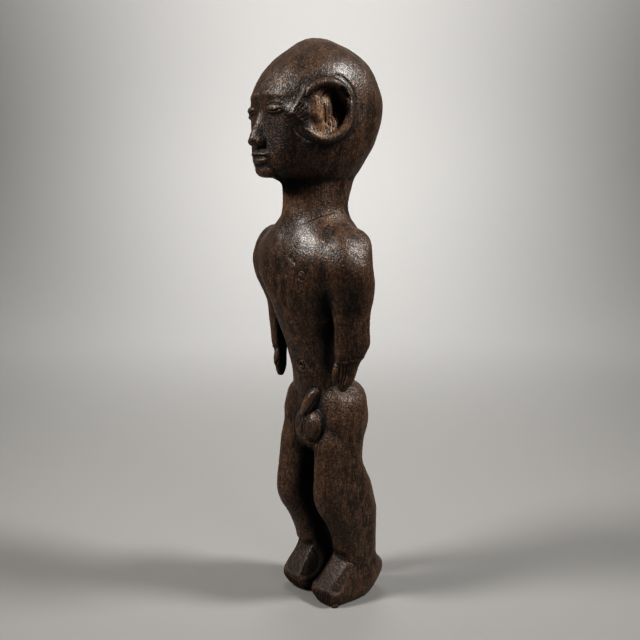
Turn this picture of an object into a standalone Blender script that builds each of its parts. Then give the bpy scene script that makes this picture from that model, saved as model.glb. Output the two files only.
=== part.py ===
"""A standing male figure carved from one block of dark hardwood.

The figure faces -Y, its left hand is on the +X side and it stands on Z = 0.
The carving is free form, so each place and size in it is a share of the figure's
height, written in thousandths of that height.
"""

import math
from collections import namedtuple

import bmesh
import bpy
import numpy as np
from mathutils import Matrix, Vector

# Driving dimensions, in metres.
FIGURE_HEIGHT = 0.400

# How finely the block is worked. Lengths are shares of the height.
UNION_VOXEL = 0.0030
TOOL_VOXEL = 0.0017
FINISH_VOXEL = 0.0023
SOFTENING = 0.5
BODY_PASSES = 14
FINISH_PASSES = 3
FACETS_KEPT = 0.0282

RING_POINTS = 56
RING_STEP = 4.0
THOUSANDTH = FIGURE_HEIGHT / 1000

# How far the right leg is set in front of the left one, from the sole up.
RIGHT_STRIDE = ((-20, -6), (0, -6), (40, 5), (80, 11), (130, 12), (200, 5), (260, 0), (400, 0))

# The head looks a little to its right. The neck takes up the turn between two heights.
HEAD_TURN = -8.0
HEAD_TURN_FROM = 705
HEAD_TURN_TO = 760
HEAD_AXIS_AHEAD = 40

# The broad face of a hand and of a forearm looks outward and forward at this angle.
HAND_TURN = 50.0

WOOD_COLOUR = (0.055, 0.033, 0.022, 1.0)
WOOD_ROUGHNESS = 0.42

# One horizontal slice of a mass. "ahead" is towards the face and "side" towards the
# figure's left hand. A squareness is 2 for an ellipse and more for a squarer outline,
# and "turn" turns the slice about its own centre, in degrees.
Slice = namedtuple(
    "Slice", "height side ahead half_width front back front_square back_square turn"
)


def slices(*rows):
    """Slices from rows of numbers. What a short row leaves out is elliptical and unturned."""
    return [Slice(*row, *(2.0, 2.0, 0.0)[len(row) - 6:]) for row in rows]


SKULL = slices(
    (752, 0, 40, 42, 48, 56),
    (762, 0, 40, 56, 66, 65, 2.2),
    (771, 0, 40, 65, 94, 73, 2.5),
    (783, 0, 40, 73, 108, 81, 2.6),
    (803, 0, 40, 82, 110, 94, 2.6),
    (824, 0, 40, 88, 109, 107, 2.6),
    (845, 0, 40, 92, 108, 116, 2.6),
    (865, 0, 40, 94, 108, 122, 2.6),
    (886, 0, 40, 94, 109, 124, 2.5),
    (906, 0, 40, 93, 107, 121, 2.4),
    (926, 0, 40, 89, 99, 113, 2.3),
    (947, 0, 40, 81, 85, 102, 2.2),
    (967, 0, 40, 66, 66, 83),
    (980, 0, 40, 50, 48, 61),
    (990, 0, 40, 34, 31, 40),
    (997, 0, 40, 19, 17, 22),
    (1000, 0, 40, 8, 7, 9),
)

NECK = slices(
    (800, 0, 40, 58, 56, 64),
    (765, 0, 40, 59, 57, 68),
    (740, 0, 41, 57, 57, 62),
    (720, 0, 42, 57, 56, 57),
    (705, 0, 42, 59, 57, 59),
    (690, 0, 42, 64, 60, 62),
    (670, 0, 43, 68, 60, 62),
)

TRUNK = slices(
    (704, 0, 41, 58, 55, 58),
    (693, 0, 42, 70, 58, 59, 2.1, 2.1),
    (680, 0, 43, 88, 61, 61, 2.2, 2.2),
    (660, 0, 46, 107, 66, 61, 2.4, 2.4),
    (632, 0, 50, 116, 68, 64, 2.5, 2.4),
    (600, 0, 49, 108, 70, 62, 2.5, 2.4),
    (570, 0, 45, 91, 71, 59, 2.6, 2.3),
    (545, 0, 41, 75, 69, 55, 2.6, 2.2),
    (520, 0, 39, 67, 64, 52, 2.6, 2.2),
    (495, 0, 37, 62, 57, 49, 2.5, 2.2),
    (470, 0, 35, 59, 50, 46, 2.4, 2.2),
    (445, 0, 33, 56, 45, 43, 2.3, 2.2),
    (420, 0, 30, 55, 43, 42, 2.2, 2.2),
    (395, 0, 27, 56, 42, 42, 2.2, 2.2),
    (370, 0, 22, 58, 38, 44, 2.2, 2.2),
)

HIPS = slices(
    (404, 0, 18, 54, 36, 42, 2.2, 2.1),
    (397, 0, 17, 68, 43, 56, 2.5, 2.1),
    (386, 0, 16, 78, 47, 63, 2.8, 2.2),
    (368, 0, 16, 81, 49, 65, 3.2, 2.2),
    (340, 0, 16, 84, 50, 66, 3.6, 2.2),
    (318, 0, 17, 83, 50, 60, 3.4, 2.2),
    (298, 0, 19, 78, 44, 48, 3.0, 2.2),
    (284, 0, 20, 70, 34, 36, 2.6, 2.2),
    (277, 0, 20, 58, 24, 26, 2.4, 2.2),
)

LEG = slices(
    (352, 38, 16, 36, 44, 50, 2.6, 2.2),
    (320, 44, 18, 37, 50, 46, 2.6, 2.2),
    (295, 48, 21, 36, 52, 38, 2.5, 2.3),
    (270, 50, 24, 35, 51, 36, 2.4, 2.4),
    (245, 51, 25, 34, 52, 48, 2.4, 2.4),
    (220, 51, 25, 34, 55, 65, 2.4, 2.4),
    (195, 51, 21, 34, 57, 69, 2.4, 2.4),
    (175, 51, 15, 34, 54, 68, 2.4, 2.4),
    (150, 50, 6, 32, 45, 62, 2.4, 2.4),
    (125, 49, -2, 31, 39, 54, 2.4, 2.4),
    (100, 47, -7, 31, 35, 50, 2.4, 2.4),
    (80, 46, -9, 31, 34, 49, 2.4, 2.4),
    (60, 45, -9, 30, 30, 50, 2.4, 2.4),
    (40, 44, -9, 27, 26, 46, 2.4, 2.4),
)

FOOT = slices(
    (-8, 43, 2, 26, 53, 45, 3.0, 2.2),
    (0, 43, 2, 28, 58, 51, 3.2, 2.2),
    (9, 43, 2, 32, 65, 60, 3.6, 2.2),
    (20, 42, 2, 36, 70, 69, 4.2, 2.2),
    (29, 42, 1, 37, 66, 79, 4.4, 2.2),
    (40, 42, 0, 37, 58, 82, 4.2, 2.2),
    (50, 42, -2, 36, 51, 79, 3.8, 2.2),
    (62, 43, -5, 33, 43, 64, 3.1, 2.2),
    (74, 45, -8, 31, 36, 52, 2.7, 2.3),
    (82, 46, -9, 27, 28, 42, 2.5, 2.3),
)

ARM = slices(
    (685, 80, 40, 14, 12, 12),
    (680, 84, 42, 30, 26, 26),
    (668, 90, 44, 43, 37, 36),
    (650, 92, 50, 45, 42, 40, 2.1, 2.1, 20.0),
    (625, 96, 55, 46, 42, 40, 2.1, 2.1, 35.0),
    (595, 100, 53, 45, 37, 36, 2.1, 2.1, 45.0),
    (565, 102, 48, 39, 26, 26, 2.1, 2.1, HAND_TURN),
    (540, 101, 46, 33, 19, 20, 2.1, 2.1, HAND_TURN),
    (515, 101, 45, 31, 18, 18, 2.1, 2.1, HAND_TURN),
    (490, 101, 44, 32, 16, 16, 2.1, 2.1, HAND_TURN),
    (475, 99, 45, 29, 15, 15, 2.1, 2.1, HAND_TURN),
    (460, 96, 47, 25, 14, 14, 2.3, 2.3, HAND_TURN),
    (456, 95, 47, 21, 11, 12, 2.3, 2.3, HAND_TURN),
    (440, 92, 49, 20, 11, 11, 2.3, 2.3, HAND_TURN),
    (425, 90, 50, 18, 11, 11, 2.3, 2.3, HAND_TURN),
    (410, 88, 52, 12, 9, 9, 2.2, 2.2, HAND_TURN),
    (402, 87, 53, 6, 6, 6, 2.0, 2.0, HAND_TURN),
    (399, 87, 53, 3, 3, 3, 2.0, 2.0, HAND_TURN),
)

# The ear: an oval rim that stands off the side of the head.
EAR_STANDS_OFF = 0.5
EAR_AHEAD = 75
EAR_HEIGHT = 873
EAR_HALF_LENGTH = 41
EAR_HALF_HEIGHT = 45
EAR_RIM_RADIUS = 8.5
EAR_OPENS = 38
EAR_CLOSES = 318

FINGER_GROOVES = (-3, 4, 11)

# One rounded lump or hollow: its centre, the direction of its length, the direction its
# thickness looks in, and half of each of the three.
Pebble = namedtuple(
    "Pebble", "side ahead height length_way out_way half_length half_width half_thickness"
)

ACROSS = (1, 0, 0)
FORWARD = (0, 1, 0)
UPWARD = (0, 0, 1)

# The face is calm and even: eyes half way up the head, the nose one eye wide.
BROW_HEIGHT = 899
EYE_HEIGHT = 878
EYE_SIDE = 38
EYE_HALF_WIDTH = 20
MOUTH_HEIGHT = 799
CHIN_HEIGHT = 777

NOSE = slices(
    (890, 0, 138, 9, 8, 10, 2.2, 2.2),
    (875, 0, 138, 9, 12, 10, 2.2, 2.2),
    (855, 0, 138, 11, 20, 10, 2.2, 2.2),
    (838, 0, 138, 14, 28, 10, 2.3, 2.2),
    (829, 0, 138, 18, 30, 10, 2.4, 2.2),
    (822, 0, 138, 18, 27, 10, 2.4, 2.2),
    (817, 0, 138, 13, 20, 10, 2.4, 2.2),
)

PAIRED_HOLLOWS = [
    # the eye socket
    Pebble(37, 158, 880, (1, -0.25, -0.1), FORWARD, 28, 15, 16),
]

# What stands up from the finished hollows.
PAIRED_RELIEF = [
    # the brow
    Pebble(31, 135, BROW_HEIGHT, (1, -0.3, -0.08), FORWARD, 34, 12, 12),
    # the wing of the nose
    Pebble(15, 153, 826, UPWARD, FORWARD, 8, 6, 10),
    # the lid
    Pebble(EYE_SIDE, 138, EYE_HEIGHT, (1, -0.28, -0.04), FORWARD, EYE_HALF_WIDTH, 9, 10),
    # the nipple
    Pebble(50, 108, 605, UPWARD, FORWARD, 5, 5, 5),
]

MIDDLE_RELIEF = [
    # the chin
    Pebble(0, 138, CHIN_HEIGHT + 2, ACROSS, FORWARD, 30, 14, 12),
    # the two lips
    Pebble(0, 147, MOUTH_HEIGHT + 5, ACROSS, FORWARD, 28, 6, 10),
    Pebble(0, 147, MOUTH_HEIGHT - 5, ACROSS, FORWARD, 24, 6, 9),
    # the penis and the scrotum, both a little to one side
    Pebble(6, 64, 359, (0.42, 0.05, 1), FORWARD, 41, 10, 15),
    Pebble(19, 58, 320, (0.08, 0, 1), FORWARD, 36, 16, 24),
]

MIDDLE_HOLLOWS = [
    # the navel and the dip under the lower lip
    Pebble(2, 71, 437, UPWARD, FORWARD, 5, 5, 6),
    Pebble(0, 157, 787, ACROSS, FORWARD, 22, 6, 9),
    # the cleft between the buttocks and the line of the spine
    Pebble(0, -56, 322, UPWARD, FORWARD, 56, 5, 22),
    Pebble(0, -30, 540, (0, 0.03, 1), FORWARD, 130, 15, 20),
]


def hand_point(across, out, height):
    """A place on the left hand or forearm, from the middle of its slice at that height."""
    table = np.array(sorted(ARM), float)
    side = eased(table[:, 0], table[:, 1], np.array([float(height)]))[0]
    ahead = eased(table[:, 0], table[:, 2], np.array([float(height)]))[0]
    turn = math.radians(HAND_TURN)
    return (
        side + across * math.cos(turn) + out * math.sin(turn),
        ahead - across * math.sin(turn) + out * math.cos(turn),
        height,
    )


def clear_scene():
    for thing in list(bpy.data.objects):
        bpy.data.objects.remove(thing, do_unlink=True)


def eased(knots, values, at):
    """Monotone cubic curve through the knots, so that no outline passes its own stations."""
    step = np.diff(knots)
    slope = np.diff(values) / step
    tangent = np.zeros(len(knots))
    tangent[0], tangent[-1] = slope[0], slope[-1]
    before, after = slope[:-1], slope[1:]
    turning = before * after <= 0
    total = np.where(turning, 1.0, before + after)
    tangent[1:-1] = np.where(turning, 0.0, 2 * before * after / total)
    span = np.clip(np.searchsorted(knots, at, side="right") - 1, 0, len(step) - 1)
    width = step[span]
    t = (at - knots[span]) / width
    return (
        (1 + 2 * t) * (1 - t) ** 2 * values[span]
        + t * (1 - t) ** 2 * width * tangent[span]
        + t**2 * (3 - 2 * t) * values[span + 1]
        + t**2 * (t - 1) * width * tangent[span + 1]
    )


def outline(cut):
    """The points of one slice, anticlockwise from above, in thousandths."""
    angle = np.linspace(0, 2 * math.pi, RING_POINTS, endpoint=False)
    in_front = np.sin(angle) < 0
    depth = np.where(in_front, cut.front, cut.back)
    power = 2 / np.where(in_front, cut.front_square, cut.back_square)
    across = cut.half_width * np.sign(np.cos(angle)) * np.abs(np.cos(angle)) ** power
    along = depth * np.sign(np.sin(angle)) * np.abs(np.sin(angle)) ** power
    turn = math.radians(cut.turn)
    x = cut.side + across * math.cos(turn) - along * math.sin(turn)
    y = -cut.ahead + across * math.sin(turn) + along * math.cos(turn)
    return np.column_stack([x, y, np.full(RING_POINTS, cut.height)])


def sliced_mass(name, stations, collection):
    """A closed mass lofted through horizontal slices, from the lowest to the highest."""
    stations = sorted(stations)
    table = np.array(stations, float)
    heights = table[:, 0]
    count = max(2, round((heights[-1] - heights[0]) / RING_STEP) + 1)
    levels = np.unique(np.concatenate([np.linspace(heights[0], heights[-1], count), heights]))
    columns = [levels] + [eased(heights, table[:, k], levels) for k in range(1, table.shape[1])]
    mesh = bmesh.new()
    rings = []
    for row in zip(*columns):
        points = outline(Slice(*row)) * THOUSANDTH
        rings.append([mesh.verts.new(point) for point in points])
    for low, high in zip(rings, rings[1:]):
        for k in range(RING_POINTS):
            after = (k + 1) % RING_POINTS
            mesh.faces.new((low[k], low[after], high[after], high[k]))
    mesh.faces.new(reversed(rings[0]))
    mesh.faces.new(rings[-1])
    bmesh.ops.recalc_face_normals(mesh, faces=mesh.faces)
    return finished_mesh(name, mesh, collection)


def finished_mesh(name, mesh, collection):
    data = bpy.data.meshes.new(name)
    mesh.to_mesh(data)
    mesh.free()
    thing = bpy.data.objects.new(name, data)
    collection.objects.link(thing)
    return thing


def mirrored(stations, stride=None):
    """The same slices on the figure's right side, set forward by the stride at their height."""
    moved = []
    for cut in stations:
        forward = 0.0
        if stride:
            heights, steps = np.array(stride, float).T
            forward = eased(heights, steps, np.array([float(cut.height)]))[0]
        moved.append(cut._replace(side=-cut.side, turn=-cut.turn, ahead=cut.ahead + forward))
    return moved


def mirrored_pebble(pebble):
    across, forward, upward = pebble.length_way
    out_across, out_forward, out_upward = pebble.out_way
    return pebble._replace(
        side=-pebble.side,
        length_way=(-across, forward, upward),
        out_way=(-out_across, out_forward, out_upward),
    )


def add_pebble(mesh, pebble):
    """An ellipsoid whose three half sizes lie along its length, its width and its thickness."""
    along = Vector((pebble.length_way[0], -pebble.length_way[1], pebble.length_way[2]))
    out = Vector((pebble.out_way[0], -pebble.out_way[1], pebble.out_way[2]))
    along.normalize()
    across = out.cross(along).normalized()
    out = along.cross(across)
    turn = Matrix((along, across, out)).transposed().to_4x4()
    sizes = (pebble.half_length, pebble.half_width, pebble.half_thickness)
    stretch = Matrix.Diagonal((*sizes, 1 / THOUSANDTH)) * THOUSANDTH
    centre = Vector((pebble.side, -pebble.ahead, pebble.height)) * THOUSANDTH
    place = Matrix.Translation(centre) @ turn @ stretch
    bmesh.ops.create_uvsphere(mesh, u_segments=32, v_segments=20, radius=1.0, matrix=place)


def pebble_mass(name, pebbles, collection):
    mesh = bmesh.new()
    for pebble in pebbles:
        add_pebble(mesh, pebble)
    return finished_mesh(name, mesh, collection)


def tube(name, points, radii, closed, collection):
    """A round rod along a line of points, as a closed mesh."""
    curve = bpy.data.curves.new(name, "CURVE")
    curve.dimensions = "3D"
    curve.bevel_depth = THOUSANDTH
    curve.bevel_resolution = 4
    curve.use_fill_caps = True
    spline = curve.splines.new("POLY")
    spline.points.add(len(points) - 1)
    spline.use_cyclic_u = closed
    for target, point, radius in zip(spline.points, points, radii):
        side, ahead, height = point
        target.co = (side * THOUSANDTH, -ahead * THOUSANDTH, height * THOUSANDTH, 1)
        target.radius = radius
    holder = bpy.data.objects.new(name + "_line", curve)
    collection.objects.link(holder)
    graph = bpy.context.evaluated_depsgraph_get()
    data = bpy.data.meshes.new_from_object(holder.evaluated_get(graph))
    bpy.data.objects.remove(holder, do_unlink=True)
    thing = bpy.data.objects.new(name, data)
    collection.objects.link(thing)
    return thing


def skull_side(ahead, height):
    """How far out the side of the skull is at a place on it."""
    table = np.array(sorted(SKULL), float)
    row = [eased(table[:, 0], table[:, k], np.array([float(height)]))[0] for k in range(1, 9)]
    cut = Slice(height, *row)
    reach = ahead - cut.ahead
    depth, power = (cut.front, cut.front_square) if reach > 0 else (cut.back, cut.back_square)
    return cut.half_width * (1 - min(0.98, abs(reach) / depth) ** power) ** (1 / power)


def ear_rims(collection):
    """The thick rolled edge of each ear, open towards the face."""
    rims = []
    angles = np.linspace(math.radians(EAR_OPENS), math.radians(EAR_CLOSES), 41)
    share = np.linspace(-1, 1, len(angles))
    radii = EAR_RIM_RADIUS * (1 - 0.35 * np.abs(share) ** 4)
    ahead = EAR_AHEAD + EAR_HALF_LENGTH * np.cos(angles)
    height = EAR_HEIGHT + EAR_HALF_HEIGHT * np.sin(angles) - 0.06 * (ahead - EAR_AHEAD)
    side = np.array([skull_side(a, h) + EAR_STANDS_OFF for a, h in zip(ahead, height)])
    for name, hand in (("left", 1), ("right", -1)):
        points = np.column_stack([hand * side, ahead, height])
        rims.append(tube(f"rough_{name}_ear_rim", points, radii, False, collection))
    return rims


def ear_details():
    """The bowl of the left ear with its shallow front part, its inner ridge and its wedge."""
    bowl = Pebble(skull_side(63, 877) + 12, 63, 877, (0, 0.25, 1), ACROSS, 37, 25, 36)
    front = Pebble(skull_side(92, 870) + 8, 92, 870, (0, 0.12, 1), (1, 0.4, 0), 37, 23, 14)
    ridge = Pebble(skull_side(87, 868) - 8, 87, 868, (0, 0.2, 1), ACROSS, 34, 9, 10)
    wedge = Pebble(skull_side(116, 872) - 3, 116, 872, (-0.6, 1, 0.05), (1, 0.6, 0), 22, 15, 6)
    return [bowl, front], [ridge, wedge]


def hand_details():
    """The grooves between the fingers of the left hand, and its thumb."""
    turn = math.radians(HAND_TURN)
    out_way = (math.sin(turn), math.cos(turn), 0)
    thumb = Pebble(*hand_point(-18, 1, 438), (0.06, -0.1, 1), out_way, 21, 7, 9)
    grooves = []
    for across in FINGER_GROOVES:
        place = hand_point(across, 12, 433)
        grooves.append(Pebble(*place, (-0.12, 0.15, 1), out_way, 20, 2.5, 6))
    fork = Pebble(*hand_point(-10, 12, 426), (0.25, -0.2, -1), out_way, 18, 2.8, 8)
    return grooves + [fork], thumb


def cut_with(figure, name, operation, tool):
    step = figure.modifiers.new(name, "BOOLEAN")
    step.operation = operation
    step.solver = "EXACT"
    step.object = tool


def voxels(figure, name, size):
    step = figure.modifiers.new(name, "REMESH")
    step.mode = "VOXEL"
    step.voxel_size = size * FIGURE_HEIGHT


def smoothed(figure, name, passes):
    step = figure.modifiers.new(name, "SMOOTH")
    step.factor = SOFTENING
    step.iterations = passes


def as_tool(thing, size=None):
    """A mass that only cuts or adds: one clean skin, and shown as a wire."""
    if size:
        voxels(thing, "skin", size)
    thing.hide_render = True
    thing.display_type = "WIRE"
    return thing


def wood():
    material = bpy.data.materials.new("dark_hardwood")
    material.use_nodes = True
    shader = material.node_tree.nodes["Principled BSDF"]
    shader.inputs["Base Color"].default_value = WOOD_COLOUR
    shader.inputs["Roughness"].default_value = WOOD_ROUGHNESS
    return material


def turn_head(data):
    """Turn everything above the neck about the neck's own upright line."""
    for vertex in data.vertices:
        height = vertex.co.z / THOUSANDTH
        share = (height - HEAD_TURN_FROM) / (HEAD_TURN_TO - HEAD_TURN_FROM)
        share = min(1.0, max(0.0, share))
        share = share * share * (3 - 2 * share)
        angle = math.radians(HEAD_TURN) * share
        x = vertex.co.x
        y = vertex.co.y + HEAD_AXIS_AHEAD * THOUSANDTH
        vertex.co.x = x * math.cos(angle) - y * math.sin(angle)
        vertex.co.y = x * math.sin(angle) + y * math.cos(angle) - HEAD_AXIS_AHEAD * THOUSANDTH


def joined_mass(name, things, collection):
    mesh = bmesh.new()
    for thing in things:
        mesh.from_mesh(thing.data)
    for thing in things:
        bpy.data.objects.remove(thing, do_unlink=True)
    return finished_mesh(name, mesh, collection)


def rough_figure(collection):
    """All the large masses in one mesh, still overlapping."""
    things = [
        sliced_mass("rough_skull", SKULL, collection),
        sliced_mass("rough_neck", NECK, collection),
        sliced_mass("rough_trunk", TRUNK, collection),
        sliced_mass("rough_hips", HIPS, collection),
    ]
    for name, stations in (("leg", LEG), ("foot", FOOT)):
        stepped = mirrored(stations, RIGHT_STRIDE)
        things.append(sliced_mass(f"rough_left_{name}", stations, collection))
        things.append(sliced_mass(f"rough_right_{name}", stepped, collection))
    things.append(sliced_mass("rough_left_arm", ARM, collection))
    things.append(sliced_mass("rough_right_arm", mirrored(ARM), collection))
    return joined_mass("figure", things, collection)


def both_sides(pebbles):
    return pebbles + [mirrored_pebble(pebble) for pebble in pebbles]


def hollow_mass(collection):
    """Everything that is cut into the smooth figure."""
    ear_hollows, _ = ear_details()
    grooves, _ = hand_details()
    pebbles = MIDDLE_HOLLOWS + both_sides(PAIRED_HOLLOWS + ear_hollows + grooves)
    return joined_mass("hollows", [pebble_mass("rough_hollows", pebbles, collection)], collection)


def relief_mass(collection):
    """Everything that stands up from the smooth figure."""
    _, ear_lumps = ear_details()
    _, thumb = hand_details()
    pebbles = MIDDLE_RELIEF + both_sides(PAIRED_RELIEF + ear_lumps + [thumb])
    things = [
        pebble_mass("rough_relief", pebbles, collection),
        sliced_mass("rough_nose", NOSE, collection),
    ]
    things.extend(ear_rims(collection))
    return joined_mass("relief", things, collection)


def main():
    clear_scene()
    figures = bpy.data.collections.new("carved_figure")
    tools = bpy.data.collections.new("carving_tools")
    bpy.context.scene.collection.children.link(figures)
    bpy.context.scene.collection.children.link(tools)

    figure = rough_figure(figures)
    turn_head(figure.data)
    voxels(figure, "union", UNION_VOXEL)
    smoothed(figure, "blend", BODY_PASSES)

    hollows = hollow_mass(tools)
    turn_head(hollows.data)
    cut_with(figure, "hollow", "DIFFERENCE", as_tool(hollows, TOOL_VOXEL))
    relief = relief_mass(tools)
    turn_head(relief.data)
    cut_with(figure, "relief", "UNION", as_tool(relief, TOOL_VOXEL))

    voxels(figure, "finish", FINISH_VOXEL)
    smoothed(figure, "soften", FINISH_PASSES)
    facets = figure.modifiers.new("facets", "DECIMATE")
    facets.ratio = FACETS_KEPT

    mesh = bmesh.new()
    low = Matrix.Translation((0, 0, -20 * THOUSANDTH))
    bmesh.ops.create_cube(mesh, size=40 * THOUSANDTH, matrix=low @ Matrix.Diagonal((12, 12, 1, 1)))
    cut_with(figure, "ground", "DIFFERENCE", as_tool(finished_mesh("ground", mesh, tools)))

    figure.data.materials.append(wood())
    centre_on_origin(figure, tools.objects)


def centre_on_origin(figure, tools):
    """Put the middle of the underside of the finished figure's box on the origin."""
    graph = bpy.context.evaluated_depsgraph_get()
    points = np.array([point.co for point in figure.evaluated_get(graph).data.vertices])
    middle = (points.min(axis=0) + points.max(axis=0)) / 2
    for thing in (figure, *tools):
        thing.location = (-middle[0], -middle[1], 0)


main()
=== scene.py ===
"""A carved standing male figure in dark hardwood, on a pale studio floor."""

import math
from collections import namedtuple

import bmesh
import bpy
import numpy as np
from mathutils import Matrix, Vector
from mathutils.bvhtree import BVHTree
from mathutils.kdtree import KDTree


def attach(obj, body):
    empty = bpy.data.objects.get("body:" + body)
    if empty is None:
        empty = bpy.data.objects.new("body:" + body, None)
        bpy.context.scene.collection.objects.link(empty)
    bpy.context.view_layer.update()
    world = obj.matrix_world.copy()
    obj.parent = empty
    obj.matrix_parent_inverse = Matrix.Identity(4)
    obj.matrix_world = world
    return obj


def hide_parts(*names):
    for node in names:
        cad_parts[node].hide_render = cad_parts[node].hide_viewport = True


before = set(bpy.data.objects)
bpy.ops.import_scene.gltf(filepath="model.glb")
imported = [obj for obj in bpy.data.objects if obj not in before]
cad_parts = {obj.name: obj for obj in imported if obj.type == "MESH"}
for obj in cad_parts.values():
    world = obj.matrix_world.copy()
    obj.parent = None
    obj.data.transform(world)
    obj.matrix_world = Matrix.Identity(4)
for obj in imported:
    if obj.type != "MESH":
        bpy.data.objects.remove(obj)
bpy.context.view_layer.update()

bl_info = {
    "name": "Carved Standing Figure",
    "version": (1, 0, 0),
    "blender": (4, 5, 0),
    "location": "3D View > Sidebar > Carving",
    "description": "Dresses the solid of a carved wooden figure with fine carving and a finish",
    "category": "Add Mesh",
}

# The carving is laid out in thousandths of the figure's height, as its solid is: to the
# figure's left, towards its face, and up. The head looks a little to its right.
THOUSANDTH = 0.0004
FEET_LINE_Y = 0.01674
HEAD_TURN = math.radians(-8.0)
HEAD_AXIS_AHEAD = 40
HEAD_FROM = 762

ACROSS = (1, 0, 0)
FORWARD = (0, 1, 0)
UPWARD = (0, 0, 1)

# One rounded lump or hollow: its centre, the direction of its length, the direction its
# thickness looks in, and half of each of the three.
Pebble = namedtuple(
    "Pebble", "side ahead height length_way out_way half_length half_width half_thickness"
)

# One flat left by the knife: a point on it, the direction it looks in, how far from that
# point it reaches, and how far its edges are rounded.
Flat = namedtuple("Flat", "side ahead height out_way reach rounding")

# One line along the surface: the places that it passes and its half width.
Line = namedtuple("Line", "half_width places")


def ring(side, ahead, height, reach, rise):
    """Places all round a point on the front of the figure, the last the same as the first."""
    angles = np.linspace(0, 2 * math.pi, 13)
    return tuple((side + reach * math.cos(a), ahead, height + rise * math.sin(a)) for a in angles)


HEAD_LUMPS = [
    # the two lips and the chin
    Pebble(0, 148, 804.5, ACROSS, FORWARD, 27, 5.5, 10),
    Pebble(0, 148, 794, ACROSS, FORWARD, 22, 6, 9),
    Pebble(0, 138, 779, ACROSS, FORWARD, 30, 13, 12),
    # the ball of the nose
    Pebble(0, 157, 829, UPWARD, FORWARD, 10, 10, 11),
]
HEAD_PAIRED_LUMPS = [
    # the lid and the wing of the nose
    Pebble(38, 139, 877, (1, -0.28, -0.04), FORWARD, 20, 9, 10.5),
    Pebble(15, 153, 826, UPWARD, FORWARD, 8, 6, 10),
    # the floor of the ear's bowl, before the deep hole and below it
    Pebble(58, 75, 874, (0, 0.15, 1), ACROSS, 48, 27, 30),
    Pebble(60, 74, 899, UPWARD, ACROSS, 24, 26, 23),
    Pebble(60, 56, 846, (0, 0.5, 1), (1, 0, 0.2), 30, 24, 28),
]
# The flat triangle in front of the ear: its upper corner, its tip and its lower corner.
EAR_PLATE = ((82, 110, 909), (76, 133, 868), (81, 101, 846))
HEAD_PAIRED_HOLLOWS = [
    # the deep hole in the ear's bowl
    Pebble(106, 48, 889, (0, 0.2, 1), ACROSS, 24, 13, 46),
]
BODY_LUMPS = [
    # the pouch, the shaft, and the egg shape on the pouch
    Pebble(7, 58, 327, (0.08, 0, 1), FORWARD, 39, 35, 23),
    Pebble(17, 62, 371, (0.52, -0.12, 1), FORWARD, 35, 12.5, 20),
    Pebble(32, 66, 333, (0.08, 0, 1), FORWARD, 28, 19, 19),
    # the chip that stands out at the left toes
    Pebble(65, 50, 3, UPWARD, (0.6, 0.8, 0), 9, 7, 8),
]
BODY_PAIRED_LUMPS = [
    # the nipple
    Pebble(50, 108, 605, UPWARD, FORWARD, 5, 5, 7),
]
BODY_HOLLOWS = [
    # the navel
    Pebble(3, 79, 440, UPWARD, FORWARD, 4.5, 4, 8),
]
FLATS = [
    # the top of the left foot, its outer and inner slopes and its front
    Flat(45, 40.5, 56.5, (0.04, 0.746, 0.665), 44, 1.6),
    Flat(64, 40, 54, (0.67, 0.62, 0.40), 34, 1.6),
    Flat(27, 42, 54, (-0.62, 0.55, 0.55), 30, 1.6),
    Flat(44, 65.5, 18, (0.10, 0.99, 0.05), 40, 1.6),
    # the top of the right foot, its inner side and its front
    Flat(-42, 42.5, 59, (-0.1, 0.77, 0.63), 44, 2.6),
    Flat(-24, 46, 56, (0.88, 0.3, 0.36), 34, 2.2),
    Flat(-44, 66.5, 18, (0.0, 0.99, 0.05), 40, 2.2),
    # the corners of the hips and of the left shoulder
    Flat(69, 2, 388, (0.75, -0.1, 0.65), 46, 9.0),
    Flat(-69, 2, 388, (-0.75, -0.1, 0.65), 46, 9.0),
    Flat(122, 42, 662, (0.74, 0.05, 0.67), 46, 10.0),
]

# The rolled edge of the ear, from the front over the top and the back to the lobe. It leans
# forward by a share, thins at both ends and stands a little above the skin.
EAR_AHEAD = 75
EAR_HEIGHT = 873
EAR_HALF_LENGTH = 41
EAR_HALF_HEIGHT = 45
EAR_RIM_RADIUS = 8.0
EAR_OPENS = 34
EAR_CLOSES = 323
EAR_LEAN = 0.06
EAR_RIM_STEPS = 181
EAR_RIM_THINS_BY = 0.75
EAR_RIM_THINS_LATE = 7
EAR_RIM_PROUD = 1.2
EAR_RIM_BLEND = 1.0
EAR_CREST_REACH = 2.5
EAR_CREST_SPAN = 15
EAR_INNERMOST = 62
EAR_REACH = 60

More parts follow.
